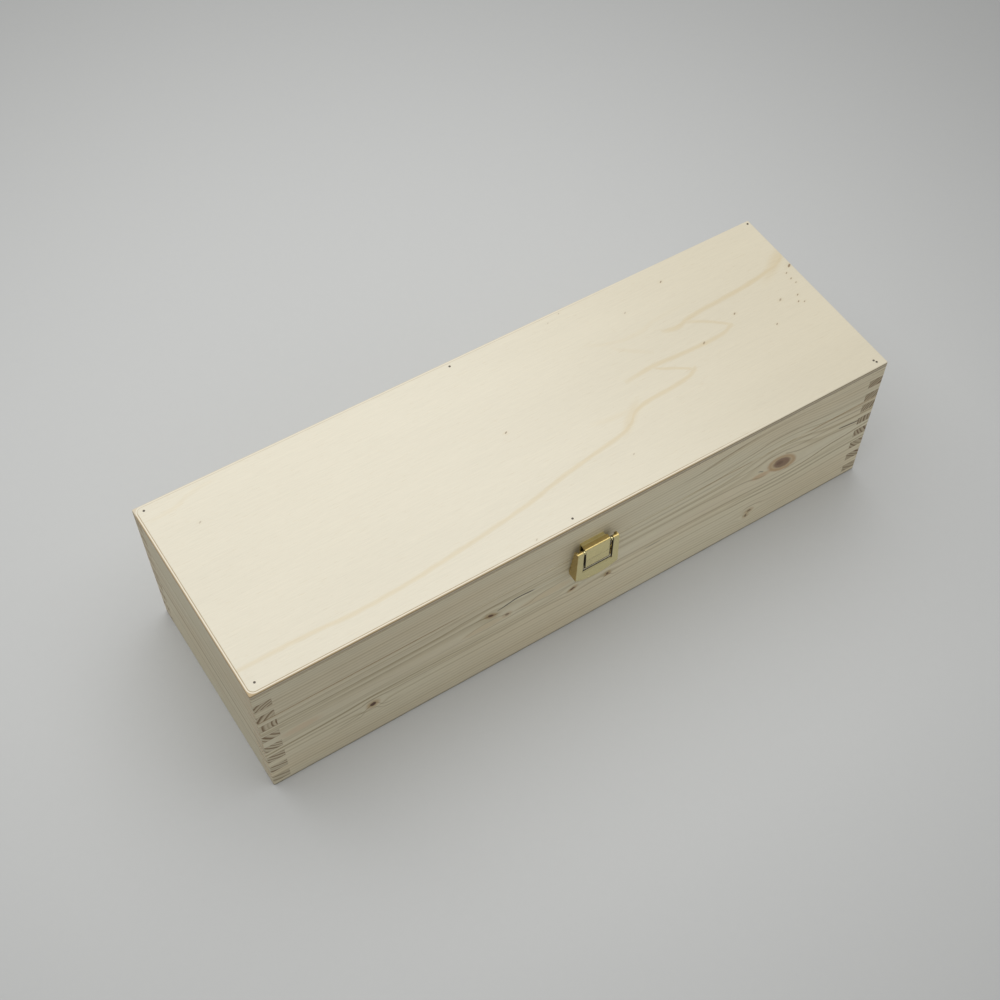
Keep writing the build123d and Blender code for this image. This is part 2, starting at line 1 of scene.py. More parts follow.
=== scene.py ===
import bpy
from mathutils import Matrix, Vector


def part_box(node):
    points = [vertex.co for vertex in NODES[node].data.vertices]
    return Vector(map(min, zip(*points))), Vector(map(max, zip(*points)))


# The looks of a finger-jointed wooden bottle box: pine boards with solid growth rings,
# knots and pitch cracks, a nailed plywood top, steel nails and satin brass fittings.
# Patterns are written in millimetres of the box's own frame, so that they ride with
# the pieces: x runs along the box, -y is the front and z is up.

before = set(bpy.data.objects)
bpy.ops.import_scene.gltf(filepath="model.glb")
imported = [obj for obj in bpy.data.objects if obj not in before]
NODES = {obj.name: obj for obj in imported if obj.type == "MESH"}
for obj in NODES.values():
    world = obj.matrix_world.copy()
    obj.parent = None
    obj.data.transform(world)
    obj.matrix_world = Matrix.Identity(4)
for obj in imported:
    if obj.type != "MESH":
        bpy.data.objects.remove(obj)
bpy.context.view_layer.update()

MM = 1000.0  # millimetres in a metre


def in_mm(point):
    return [MM * value for value in point]


FRONT_LOW, FRONT_HIGH = (in_mm(corner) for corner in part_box("front_board"))
END_LOW, END_HIGH = (in_mm(corner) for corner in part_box("right_end_board"))
HOOK_LOW, HOOK_HIGH = (in_mm(corner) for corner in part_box("clasp_hook"))
PANEL_HIGH = in_mm(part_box("lid_top_panel")[1])
HALF_LENGTH = PANEL_HIGH[0]
HALF_WIDTH = PANEL_HIGH[1]
WALL = END_HIGH[0] - END_LOW[0]
SPLIT = FRONT_HIGH[2]
TOP = PANEL_HIGH[2]
FINGER = 4.97            # height of one finger of the corner joints
BOX_FINGERS_FROM = 3.3   # the first finger of the box starts at this height
LID_FINGERS_FROM = 61.55


# ---------------------------------------------------------------- node helpers
class Signal:
    """A value that varies over a surface. Arithmetic on it adds Math nodes."""

    def __init__(self, tree, socket):
        self.tree = tree
        self.socket = socket

    def math(self, operation, *others, clamp=False):
        node = self.tree.nodes.new("ShaderNodeMath")
        node.operation = operation
        node.use_clamp = clamp
        for value, entry in zip((self, *others), node.inputs):
            feed(self.tree, value, entry)
        return Signal(self.tree, node.outputs[0])

    def __add__(self, other):
        return self.math("ADD", other)

    __radd__ = __add__

    def __sub__(self, other):
        return self.math("SUBTRACT", other)

    def __rsub__(self, other):
        return self.math("MULTIPLY_ADD", -1.0, other)

    def __mul__(self, other):
        return self.math("MULTIPLY", other)

    __rmul__ = __mul__

    def __truediv__(self, other):
        return self.math("DIVIDE", other)

    def __pow__(self, other):
        return self.math("POWER", other)

    def absolute(self):
        return self.math("ABSOLUTE")

    def at_most(self, other):
        return self.math("MINIMUM", other)

    def at_least(self, other):
        return self.math("MAXIMUM", other)

    def smooth(self, start, end):
        """0 up to start, 1 from end on; start may be above end."""
        node = self.tree.nodes.new("ShaderNodeMapRange")
        node.interpolation_type = "SMOOTHSTEP"
        feed(self.tree, self, node.inputs["Value"])
        low, high = min(start, end), max(start, end)
        node.inputs["From Min"].default_value = low
        node.inputs["From Max"].default_value = high
        node.inputs["To Min"].default_value = 0.0 if start < end else 1.0
        node.inputs["To Max"].default_value = 1.0 if start < end else 0.0
        return Signal(self.tree, node.outputs[0])

    def curve(self, points, reach):
        """A curve drawn through the given (self, value) points, flat beyond its ends."""
        node = self.tree.nodes.new("ShaderNodeFloatCurve")
        line = node.mapping.curves[0]
        start, end = points[0][0], points[-1][0]
        low, high = reach
        spots = [((a - start) / (end - start), (b - low) / (high - low)) for a, b in points]
        for spot in spots[1:-1]:
            line.points.new(*spot)
        line.points[0].location = spots[0]
        line.points[-1].location = spots[-1]
        node.mapping.update()
        share = (self - start).math("DIVIDE", end - start, clamp=True)
        feed(self.tree, share, node.inputs["Value"])
        return Signal(self.tree, node.outputs[0]) * (high - low) + low


def feed(tree, value, entry):
    if isinstance(value, Signal):
        tree.links.new(value.socket, entry)
    elif isinstance(value, tuple) and len(value) == 3 and entry.type == "RGBA":
        entry.default_value = (*value, 1.0)
    else:
        entry.default_value = value


class Surface:
    """One material, with its coordinates in mm and short calls that add nodes."""

    def __init__(self, name):
        self.material = bpy.data.materials.new(name)
        self.material.use_nodes = True
        self.tree = self.material.node_tree
        self.shader = self.tree.nodes["Principled BSDF"]
        place = self.tree.nodes.new("ShaderNodeTexCoord")
        self.place = place.outputs["Object"]
        self.x, self.y, self.z = (axis * MM for axis in self.split(self.place))
        self.normal = self.split(place.outputs["Normal"])
        self.heights = []

    def split(self, socket):
        node = self.tree.nodes.new("ShaderNodeSeparateXYZ")
        self.tree.links.new(socket, node.inputs[0])
        return [Signal(self.tree, output) for output in node.outputs]

    def noise(self, size, seed=0.0, detail=2.0, roughness=0.5, from_point=None):
        """Noise about 0, mostly within 0.5 each way; size is a feature's mm in x, y, z."""
        mapping = self.tree.nodes.new("ShaderNodeMapping")
        if from_point is None:
            self.tree.links.new(self.place, mapping.inputs["Vector"])
            factor = MM
        else:
            join = self.tree.nodes.new("ShaderNodeCombineXYZ")
            for value, entry in zip(from_point, join.inputs):
                feed(self.tree, value, entry)
            self.tree.links.new(join.outputs[0], mapping.inputs["Vector"])
            factor = 1.0
        mapping.inputs["Scale"].default_value = [factor / length for length in size]
        mapping.inputs["Location"].default_value = (seed, 2.7 * seed, -1.3 * seed)
        node = self.tree.nodes.new("ShaderNodeTexNoise")
        node.inputs["Scale"].default_value = 1.0
        node.inputs["Detail"].default_value = detail
        node.inputs["Roughness"].default_value = roughness
        self.tree.links.new(mapping.outputs[0], node.inputs["Vector"])
        return Signal(self.tree, node.outputs[0]) - 0.5

    def speck(self, number):
        """A random value from 0 to 1 for each whole number."""
        node = self.tree.nodes.new("ShaderNodeTexWhiteNoise")
        node.noise_dimensions = "1D"
        feed(self.tree, number.math("FLOOR"), node.inputs["W"])
        return Signal(self.tree, node.outputs[0])

    def mix(self, factor, first, second, blend="MIX"):
        node = self.tree.nodes.new("ShaderNodeMix")
        node.data_type = "RGBA"
        node.blend_type = blend
        node.clamp_factor = True
        feed(self.tree, factor, node.inputs[0])
        feed(self.tree, first, node.inputs[6])
        feed(self.tree, second, node.inputs[7])
        return Signal(self.tree, node.outputs[2])

    def tint(self, colour, factor, by):
        """Multiplies the colour by a tint where the factor is 1."""
        return self.mix(factor, colour, by, blend="MULTIPLY")

    def brightness(self, colour, amount):
        """Makes the colour lighter or darker by a share that varies."""
        node = self.tree.nodes.new("ShaderNodeVectorMath")
        node.operation = "SCALE"
        feed(self.tree, colour, node.inputs[0])
        feed(self.tree, amount + 1.0, node.inputs["Scale"])
        return Signal(self.tree, node.outputs[0])

    def stroke(self, along, across, points, half_width):
        """A soft line drawn through the given (along, across, strength) points."""
        heights = [b for a, b, strength in points]
        reach = (min(heights) - 0.5, max(heights) + 0.5)
        centre = along.curve([(a, b) for a, b, strength in points], reach)
        strength = along.curve([(a, strength) for a, b, strength in points], (0.0, 1.0))
        off = (across - centre) / half_width
        profile = (1.0 - off * off).at_least(0.0)
        return profile * strength

    def strokes(self, along, across, lines):
        """The strongest of several strokes, each written as (half width, points)."""
        total = None
        for half_width, points in lines:
            one = self.stroke(along, across, points, half_width)
            total = one if total is None else total.at_least(one)
        return total

    def spot(self, along, across, centre, half_size, lean=0.0, softness=0.35):
        """A soft-edged spot, 1 in its middle; lean shears it."""
        a = (along - centre[0]) / half_size[0]
        b = (across - centre[1] - (along - centre[0]) * lean) / half_size[1]
        distance = (a * a + b * b) ** 0.5
        return distance.smooth(1.0 + softness, 1.0 - softness)

    def rough(self, height, millimetres):
        """Adds a height pattern, from 0 to 1 over that many millimetres."""
        self.heights.append((height, millimetres / MM))

    def finish(self, colour, roughness, metallic=0.0, specular=0.3):
        feed(self.tree, colour, self.shader.inputs["Base Color"])
        feed(self.tree, roughness, self.shader.inputs["Roughness"])
        feed(self.tree, metallic, self.shader.inputs["Metallic"])
        self.shader.inputs["Specular IOR Level"].default_value = specular
        normal = None
        for height, distance in self.heights:
            bump = self.tree.nodes.new("ShaderNodeBump")
            bump.inputs["Strength"].default_value = 1.0
            bump.inputs["Distance"].default_value = distance
            feed(self.tree, height, bump.inputs["Height"])
            if normal is not None:
                self.tree.links.new(normal, bump.inputs["Normal"])
            normal = bump.outputs[0]
        if normal is not None:
            self.tree.links.new(normal, self.shader.inputs["Normal"])
        return self.material


# ---------------------------------------------------------------- pine
PINE_EARLY = (0.645, 0.592, 0.444)
PINE_LATE_TINT = (0.71, 0.66, 0.55)
PINE_RED_TINT = (0.95, 0.88, 0.82)
PINE_LINE_TINT = (0.57, 0.50, 0.40)
KNOT_HALO_TINT = (0.80, 0.69, 0.56)
KNOT_CORE = (0.110, 0.062, 0.040)
PITCH = (0.035, 0.022, 0.014)
SAW_BURN = (0.55, 0.42, 0.30)
FOOT_SHADE_TINT = (0.42, 0.39, 0.35)      # painted shade along the bottom edge
JOINT_TINT = (0.42, 0.32, 0.22)
JOINT_STRENGTH = 0.8
CRACK_LENS_TINT = (0.92, 0.84, 0.74)
REDDISH_TINT = (0.93, 0.80, 0.72)
KNOT_TAIL_TINT = (0.86, 0.70, 0.58)
KNOT_COLLAR_TINT = (0.86, 0.74, 0.62)
KNOT_RIM_TINT = (0.74, 0.58, 0.46)
KNOT_HEART = (0.230, 0.145, 0.098)
# End grain of each board: its ground and its rings.
FRONT_END_TINTS = ((0.86, 0.80, 0.74), (0.62, 0.52, 0.44))
BACK_END_TINTS = ((0.80, 0.72, 0.64), (0.58, 0.47, 0.38))
LEFT_END_TINTS = ((0.94, 0.91, 0.87), (0.40, 0.32, 0.25))
RIGHT_END_TINTS = ((0.83, 0.77, 0.69), (0.38, 0.30, 0.24))


class Pine:
    """Solid softwood. The rings are circles round the pith line, which runs along the
    board at a (depth, height) in mm. Knots are (along, height, half length, half
    height, lean, darkness); swells are (along, half length, lift, from height)."""

    def __init__(self, name, along_x, pith, ring, seed, calm=0.85, knots=(), swells=()):
        s = Surface(name)
        self.surface = s
        self.along, depth = (s.x, s.y) if along_x else (s.y, s.x)
        self.end_grain = (s.normal[0] if along_x else s.normal[1]).absolute().smooth(0.55, 0.85)
        across = 0.12
        self.stretch = (1.0, across, across) if along_x else (across, 1.0, across)

        lift = s.noise(self.sized(230.0), seed, 1.0) * 5.0
        lift = lift + s.noise(self.sized(60.0), seed + 3.0) * 0.9
        for place, height, half_length, half_height, lean, darkness in knots:
            reach = 2.2 * max(half_length, half_height)
            a = (self.along - place) * 0.6
            b = s.z - height
            nearness = (a * a + b * b) / (reach * reach)
            lift = lift - b * nearness.at_least(1.0).math("POWER", -1.0)
        for place, half_length, rise, from_height in swells:
            a = (self.along - place) / half_length
            hump = (1.0 - a * a).at_least(0.0)
            lift = lift - hump * hump * rise * s.z.smooth(from_height - 8.0, from_height + 8.0)
        out = depth - pith[0]
        up = s.z + lift - pith[1]
        radius = (out * out + up * up) ** 0.5
        uneven = s.noise((7.0, 7.0, 7.0), seed, 0.0, from_point=(radius, 0.0, 0.0))
        count = radius / ring + uneven * 1.8
        phase = count.math("FRACT")
        late = phase.smooth(0.30, 0.88) * phase.smooth(1.0, 0.90)
        self.late = late * (s.speck(count) * 0.75 + 0.25)

        self.fibre = s.noise(self.sized(16.0), seed + 5.0, 2.0, 0.6)
        self.fine = s.noise(self.sized(5.0), seed + 7.0, 2.0, 0.6)
        cloud = s.noise((150.0, 60.0, 42.0), seed + 9.0, 1.0)
        colour = s.brightness(PINE_EARLY, cloud * 0.14 + self.fibre * 0.11 + self.fine * 0.10)
        red = (s.noise((120.0, 50.0, 24.0), seed + 11.0, 1.0) + 0.1) * 1.6
        colour = s.tint(colour, red, PINE_RED_TINT)
        side_grain = 1.0 - self.end_grain
        self.colour = s.tint(colour, self.late * side_grain * calm, PINE_LATE_TINT)
        self.seed = seed
        self.knots = knots

    def sized(self, length):
        return tuple(length * part for part in self.stretch)

    def show_end_grain(self, ground, line, line_strength):
        """Tints where the fibres are cut across: pores, and rings as dark lines."""
        s = self.surface
        pores = s.noise(self.sized(2.2), self.seed + 13.0, 1.0)
        colour = s.tint(self.colour, self.end_grain * (pores * 0.8 + 0.8), ground)
        self.colour = s.tint(colour, self.end_grain * self.late * line_strength, line)

    def show_joints(self):
        """A hairline where a finger meets the other board's wood."""
        s = self.surface
        in_lid = s.z.smooth(SPLIT - 0.01, SPLIT + 0.01)
        start = in_lid * (LID_FINGERS_FROM - BOX_FINGERS_FROM) + BOX_FINGERS_FROM
        step = (s.z - start) / FINGER
        gap = (step - step.math("ROUND")).absolute() * FINGER
        near_end = s.x.absolute().smooth(HALF_LENGTH - WALL - 0.1, HALF_LENGTH - WALL)
        near_side = s.y.absolute().smooth(HALF_WIDTH - WALL - 0.1, HALF_WIDTH - WALL)
        ragged = s.noise((3.0, 3.0, 3.0), self.seed + 15.0) * 0.9 + 0.7
        hair = gap.smooth(0.28, 0.05) * near_end * near_side * ragged
        self.colour = s.tint(self.colour, hair * JOINT_STRENGTH, JOINT_TINT)

    def show_lines(self, across, lines):
        s = self.surface
        shown = s.strokes(self.along, across, lines) * (1.0 - self.end_grain)
        self.colour = s.tint(self.colour, shown, PINE_LINE_TINT)

    def show_cracks(self, across, lines):
        s = self.surface
        self.colour = s.mix(s.strokes(self.along, across, lines), self.colour, PITCH)

    def show_knots(self):
        s = self.surface
        ragged = s.noise((1.6, 1.6, 1.6), self.seed + 17.0, 2.0)
        along = self.along + ragged * 1.1
        height = s.z - ragged * 1.1
        side_grain = 1.0 - self.end_grain
        for place, level, half_length, half_height, lean, darkness in self.knots:
            halo_size = (1.7 * half_length + 0.8, 1.6 * half_height + 0.6)
            halo = s.spot(along, height, (place, level), halo_size, lean, 0.4)
            core = s.spot(along, height, (place, level), (half_length, half_height), lean, 0.3)
            self.colour = s.tint(self.colour, halo * side_grain * darkness, KNOT_HALO_TINT)
            self.colour = s.mix(core * side_grain * darkness, self.colour, KNOT_CORE)

    def finish(self):
        s = self.surface
        s.rough(self.fine + self.fibre * 0.6, 0.06)
        s.rough(self.late, 0.03)
        return s.finish(self.colour, self.fibre * 0.12 + 0.62 - self.late * 0.08, specular=0.25)


FRONT_KNOTS = [
    (-120.0, 25.8, 1.6, 1.5, 0.0, 1.0),
    (-55.5, 47.9, 1.5, 1.0, -0.35, 0.95),
    (-46.4, 41.5, 1.1, 0.9, 0.0, 0.60),
    (-9.0, 32.8, 1.4, 0.7, 0.30, 1.0),
    (11.8, 29.4, 0.8, 0.9, 0.0, 0.95),
    (101.5, 15.7, 1.3, 0.8, 0.0, 0.65),
    (99.8, 12.5, 0.8, 1.0, 0.0, 0.65),
]
BIG_KNOT = (117.0, 45.4)
FRONT_LINES = [
    (
        0.75,
        [
            (-175, 53.2, 0.5), (-130, 52.5, 0.8), (-85, 53.0, 0.8), (-70, 54.3, 0.8), (-50, 55.0, 0.75),
            (-20, 55.0, 0.5), (-10, 54.0, 0.1), (14, 51.8, 0.2), (50, 52.0, 0.45), (80, 52.5, 0.5),
            (95, 53.0, 0.5), (105, 54.5, 0.6), (112, 55.2, 0.7), (120, 54.3, 0.6), (130, 53.3, 0.5),
            (150, 52.5, 0.45), (175, 51.6, 0.5),
        ],
    ),
    (
        0.7,
        [
            (-175, 49.6, 0.5), (-130, 48.0, 0.6), (-85, 48.5, 0.6), (-65, 49.0, 0.7), (-59, 48.4, 0.9),
            (-52, 46.8, 0.7), (-47, 46.2, 0.0), (14, 46.8, 0.3), (60, 47.0, 0.5), (75, 46.3, 0.55),
            (90, 45.5, 0.6), (100, 43.5, 0.6), (107, 41.8, 0.3), (111, 42.0, 0.0), (116, 52.5, 0.0),
            (119, 51.6, 0.6), (124, 49.5, 0.7), (130, 48.0, 0.7), (140, 47.5, 0.6), (150, 46.7, 0.6),
            (160, 45.3, 0.5), (175, 43.4, 0.4),
        ],
    ),
    (
        0.75,
        [
            (-175, 30.6, 0.6), (-135, 32.0, 0.75), (-118, 33.2, 0.85), (-85, 33.0, 0.8), (-65, 32.2, 0.7),
            (-15, 32.2, 0.5), (-6, 32.8, 0.3), (4, 35.6, 0.1), (15, 36.2, 0.45), (50, 36.0, 0.55),
            (70, 35.5, 0.55), (90, 35.0, 0.65), (115, 34.0, 0.75), (128, 34.3, 0.85), (135, 35.0, 1.0),
            (140, 36.0, 1.0), (150, 38.0, 1.0), (160, 39.0, 0.95), (175, 41.0, 0.6),
        ],
    ),
    (
        0.7,
        [
            (-175, 28.4, 0.4), (-145, 28.4, 0.55), (-128, 28.3, 0.6), (-120, 30.2, 0.8), (-110, 29.5, 0.6),
            (-60, 29.0, 0.5), (-30, 29.0, 0.2), (-10, 29.2, 0.1), (75, 31.0, 0.1), (95, 31.0, 0.5),
            (110, 31.0, 0.55), (135, 31.5, 0.5), (175, 32.7, 0.45),
        ],
    ),
    (
        0.6,
        [
            (-140, 21.6, 0.0), (-133, 22.0, 0.6), (-126, 22.9, 0.7), (-122, 25.0, 0.8), (-120, 26.0, 0.4),
            (-117, 24.0, 0.6), (-115, 21.5, 0.5), (-108, 20.0, 0.4), (-95, 19.6, 0.1), (2, 25.6, 0.0),
            (9, 26.4, 0.5), (11.8, 28.6, 0.8), (15, 26.6, 0.5), (24, 25.6, 0.1), (78, 28.6, 0.1),
            (90, 28.4, 0.45), (105, 28.0, 0.5), (120, 27.5, 0.5), (140, 28.5, 0.45), (175, 29.8, 0.4),
        ],
    ),
    (
        0.6,
        [
            (-142, 19.4, 0.0), (-135, 19.5, 0.45), (-127, 20.0, 0.55), (-121, 22.6, 0.5), (-118, 21.0, 0.5),
            (-112, 17.8, 0.4), (-100, 17.0, 0.1), (90, 17.2, 0.0), (97, 17.8, 0.4), (102, 19.5, 0.6),
            (110, 18.0, 0.4), (124, 17.4, 0.1), (175, 17.2, 0.1),
        ],
    ),
    (
        0.6,
        [
            (-175, 56.2, 0.3), (-120, 56.0, 0.35), (-90, 56.4, 0.3), (-60, 58.2, 0.2), (14, 56.0, 0.3),
            (45, 56.3, 0.45), (70, 57.0, 0.45), (90, 58.6, 0.4), (104, 60.2, 0.2), (117, 59.6, 0.5),
            (125, 58.5, 0.6), (140, 57.8, 0.55), (175, 55.6, 0.5),
        ],
    ),
    (
        0.6,
        [
            (-175, 44.0, 0.2), (-130, 43.6, 0.25), (-76, 39.6, 0.1), (-70, 40.8, 0.3), (-62, 43.0, 0.45),
            (-55, 43.7, 0.45), (-50, 43.0, 0.5), (-46.4, 42.0, 0.6), (-43, 40.9, 0.4), (-38, 40.8, 0.6),
            (-30, 43.0, 0.6), (-20, 44.5, 0.5), (-8, 45.1, 0.2), (0, 45.2, 0.0),
        ],
    ),
    (
        0.6,
        [
            (-175, 36.6, 0.2), (-120, 38.0, 0.3), (-75, 38.4, 0.35), (-60, 37.8, 0.5), (-48, 38.0, 0.6),
            (-35, 38.5, 0.5), (-20, 37.5, 0.4), (-8, 37.0, 0.2), (14, 39.6, 0.1), (50, 39.9, 0.25),
            (90, 39.2, 0.3), (112, 37.6, 0.3), (130, 38.6, 0.3), (175, 46.0, 0.1),
        ],
    ),
    (
        0.7,
        [
            (40, 64.6, 0.0), (75, 65.6, 0.4), (88, 66.5, 0.6), (100, 68.0, 0.7), (110, 69.5, 0.8),
            (120, 69.1, 0.7), (130, 68.0, 0.6), (150, 66.6, 0.5), (175, 65.2, 0.5),
        ],
    ),
    (
        0.9,
        [
            (48, 72.6, 0.0), (60, 74.2, 0.3), (70, 76.0, 0.8), (80, 77.8, 0.9), (90, 79.0, 0.8),
            (100, 79.6, 0.5), (112, 80.0, 0.3), (140, 79.0, 0.15), (175, 78.6, 0.15),
        ],
    ),
]
FRONT_CRACKS = [
    (
        0.60,
        [
            (-52, 49.0, 0.0), (-49, 49.6, 0.8), (-45, 50.5, 1.0), (-40, 51.3, 1.0), (-34, 50.9, 1.0),
            (-30, 50.7, 0.2), (-16, 50.1, 0.15), (-10, 50.0, 0.0),
        ],
    ),
    (
        0.55,
        [
            (153, 48.3, 0.0), (155.5, 48.0, 0.9), (160, 47.3, 1.0), (166, 46.6, 1.0), (170, 46.9, 0.7),
            (175, 47.2, 0.6),
        ],
    ),
    (0.6, [(33, 33.3, 0.0), (36, 33.5, 0.35), (41, 33.6, 0.35), (44, 33.6, 0.0)]),
    (0.5, [(101.5, 48.0, 0.0), (103, 47.5, 0.7), (104, 46.8, 0.7), (105.2, 46.2, 0.0)]),
]
SAW_LINE = [
    (
        0.65,
        [
            (-175, 61.2, 0.8), (-150, 61.2, 0.9), (-100, 61.2, 0.9), (-82, 61.2, 0.85), (-66, 61.2, 0.2),
            (-20, 61.2, 0.12), (60, 61.1, 0.15), (70, 61.0, 0.7), (92, 61.0, 0.7), (100, 61.0, 0.2),
            (128, 60.7, 0.2), (137, 60.6, 0.75), (163, 60.5, 0.75), (175, 60.6, 0.4),
        ],
    ),
]


def front_pine():
    flow = FRONT_KNOTS + [(*BIG_KNOT, 4.4, 3.4, 0.0, 0.0)]
    board = Pine(
        "pine_front", True, (FRONT_LOW[1] + 25.0, 41.0), 1.55, 1.0,
        knots=flow, swells=[(108.0, 42.0, 3.2, 58.0)],
    )
    s = board.surface
    board.show_end_grain(*FRONT_END_TINTS, 1.0)
    ragged = s.noise((9.0, 9.0, 3.0), 19.0, 2.0)
    across = s.z + ragged * 0.7
    board.show_lines(across, FRONT_LINES)
    for centre, half_size in (((-59.0, 40.9), (11.0, 2.4)), ((-24.0, 41.3), (15.0, 2.8))):
        lens = s.spot(board.along, across, centre, half_size, 0.0, 0.3)
        board.colour = s.tint(board.colour, lens * 0.6, CRACK_LENS_TINT)
    reddish = s.spot(board.along, across, (-156.0, 40.0), (10.0, 2.6), 0.0, 0.5)
    board.colour = s.tint(board.colour, reddish * 0.6, REDDISH_TINT)
    on_face = s.normal[1].smooth(-0.4, -0.8)
    burn = s.strokes(board.along, s.z + ragged * 0.25, SAW_LINE) * on_face
    board.colour = s.tint(board.colour, burn, SAW_BURN)
    board.show_cracks(s.z + ragged * 0.3, FRONT_CRACKS)
    board.show_knots()
    big_knot(board, s.noise((2.4, 2.4, 2.4), 21.0, 2.0))
    board.show_joints()
    # Painted light: the front boards are brightened overall and more towards the right end; the rise to the
    # right stands in for light falling unevenly across the front.
    board.colour = s.brightness(board.colour, s.x.smooth(-140.0, 10.0) * 0.17 + 0.10)
    # Painted shade: the lowest couple of millimetres darken towards the floor, standing in for the contact
    # shadow.
    foot_shade = s.z.smooth(1.9, 0.5)
    board.colour = s.tint(board.colour, foot_shade * 0.9, FOOT_SHADE_TINT)
    return board.finish()


def big_knot(board, ragged):
    """An intergrown knot: reddish heart, brown collar with dark arcs, reddish tail."""
    s = board.surface
    along = board.along + ragged * 1.8
    height = s.z - ragged * 1.4
    lean = -0.30
    place, level = BIG_KNOT
    tail = s.spot(along, height, (place - 13.0, level - 1.7), (6.0, 2.0), -0.1, 0.5)
    board.colour = s.tint(board.colour, tail * 0.8, KNOT_TAIL_TINT)
    collar = s.spot(along, height, (place, level - 0.2), (8.8, 5.9), lean, 0.22)
    board.colour = s.tint(board.colour, collar * 0.9, KNOT_COLLAR_TINT)
    rim = collar * (1.0 - s.spot(along, height, (place, level), (7.6, 4.9), lean, 0.22))
    board.colour = s.tint(board.colour, rim, KNOT_RIM_TINT)
    heart = s.spot(along, height, (place, level), (5.6, 3.9), lean, 0.22)
    board.colour = s.mix(heart * 0.9, board.colour, KNOT_HEART)
    pip = s.spot(along, height, (place - 1.5, level + 0.6), (2.4, 1.6), lean, 0.5)
    board.colour = s.mix(pip * 0.45, board.colour, KNOT_CORE)


LEFT_FACE_LINES = [
    (1.5, [(-57, 35.4, 0.75), (-20, 36.0, 0.8), (20, 36.6, 0.8), (57, 36.2, 0.7)]),
    (0.9, [(-57, 43.4, 0.4), (0, 43.0, 0.5), (57, 42.6, 0.4)]),
    (0.9, [(-57, 55.2, 0.4), (10, 54.8, 0.45), (57, 55.4, 0.4)]),
    (1.0, [(-57, 24.2, 0.4), (0, 24.0, 0.45), (57, 23.6, 0.4)]),
]


def left_pine():
    board = Pine("pine_left", False, (-160.0, 56.0), 2.3, 40.0)
    board.show_end_grain(*LEFT_END_TINTS, 1.5)
    ragged = board.surface.noise((3.0, 9.0, 3.0), 41.0, 2.0)
    board.show_lines(board.surface.z + ragged * 0.7, LEFT_FACE_LINES)
    board.show_joints()
    return board.finish()


def right_pine():
    board = Pine(
        "pine_right", False, (188.0, 45.0), 2.0, 60.0,
        knots=[(22.0, 39.0, 2.2, 2.6, 0.2, 0.9), (-31.0, 14.5, 1.1, 0.9, 0.0, 0.8)],
    )
    board.show_end_grain(*RIGHT_END_TINTS, 1.5)
    board.show_knots()
    board.show_joints()
    return board.finish()


BACK_LINES = [
    (
        0.8,
        [
            (-175, 44.0, 0.4), (-110, 45.2, 0.6), (-60, 47.0, 0.7), (-20, 49.4, 0.6), (40, 48.2, 0.5),
            (110, 46.0, 0.5), (175, 45.0, 0.4),
        ],
    ),
    (
        0.7,
        [
            (-175, 18.0, 0.4), (-120, 19.6, 0.5), (-40, 21.4, 0.6), (30, 20.2, 0.5), (90, 17.6, 0.4),
            (175, 16.4, 0.4),
        ],
    ),
    (0.8, [(-175, 72.0, 0.3), (-80, 71.2, 0.4), (20, 73.4, 0.5), (120, 75.6, 0.4), (175, 76.0, 0.3)]),
]


def back_pine():
    board = Pine(
        "pine_back", True, (HALF_WIDTH + 30.0, 30.0), 2.1, 20.0,
        knots=[
            (-62.0, 33.0, 2.3, 2.0, 0.15, 0.95),
            (48.0, 26.0, 1.2, 1.0, 0.0, 0.80),
            (141.0, 40.0, 1.6, 1.3, -0.20, 0.85),
            (-18.0, 76.0, 1.1, 0.9, 0.0, 0.70),
        ],
        swells=[(-25.0, 60.0, 2.6, 40.0)],
    )
    board.show_end_grain(*BACK_END_TINTS, 1.2)
    ragged = board.surface.noise((9.0, 9.0, 3.0), 23.0, 2.0)
    board.show_lines(board.surface.z + ragged * 0.8, BACK_LINES)
    board.show_knots()
    board.show_joints()
    return board.finish()


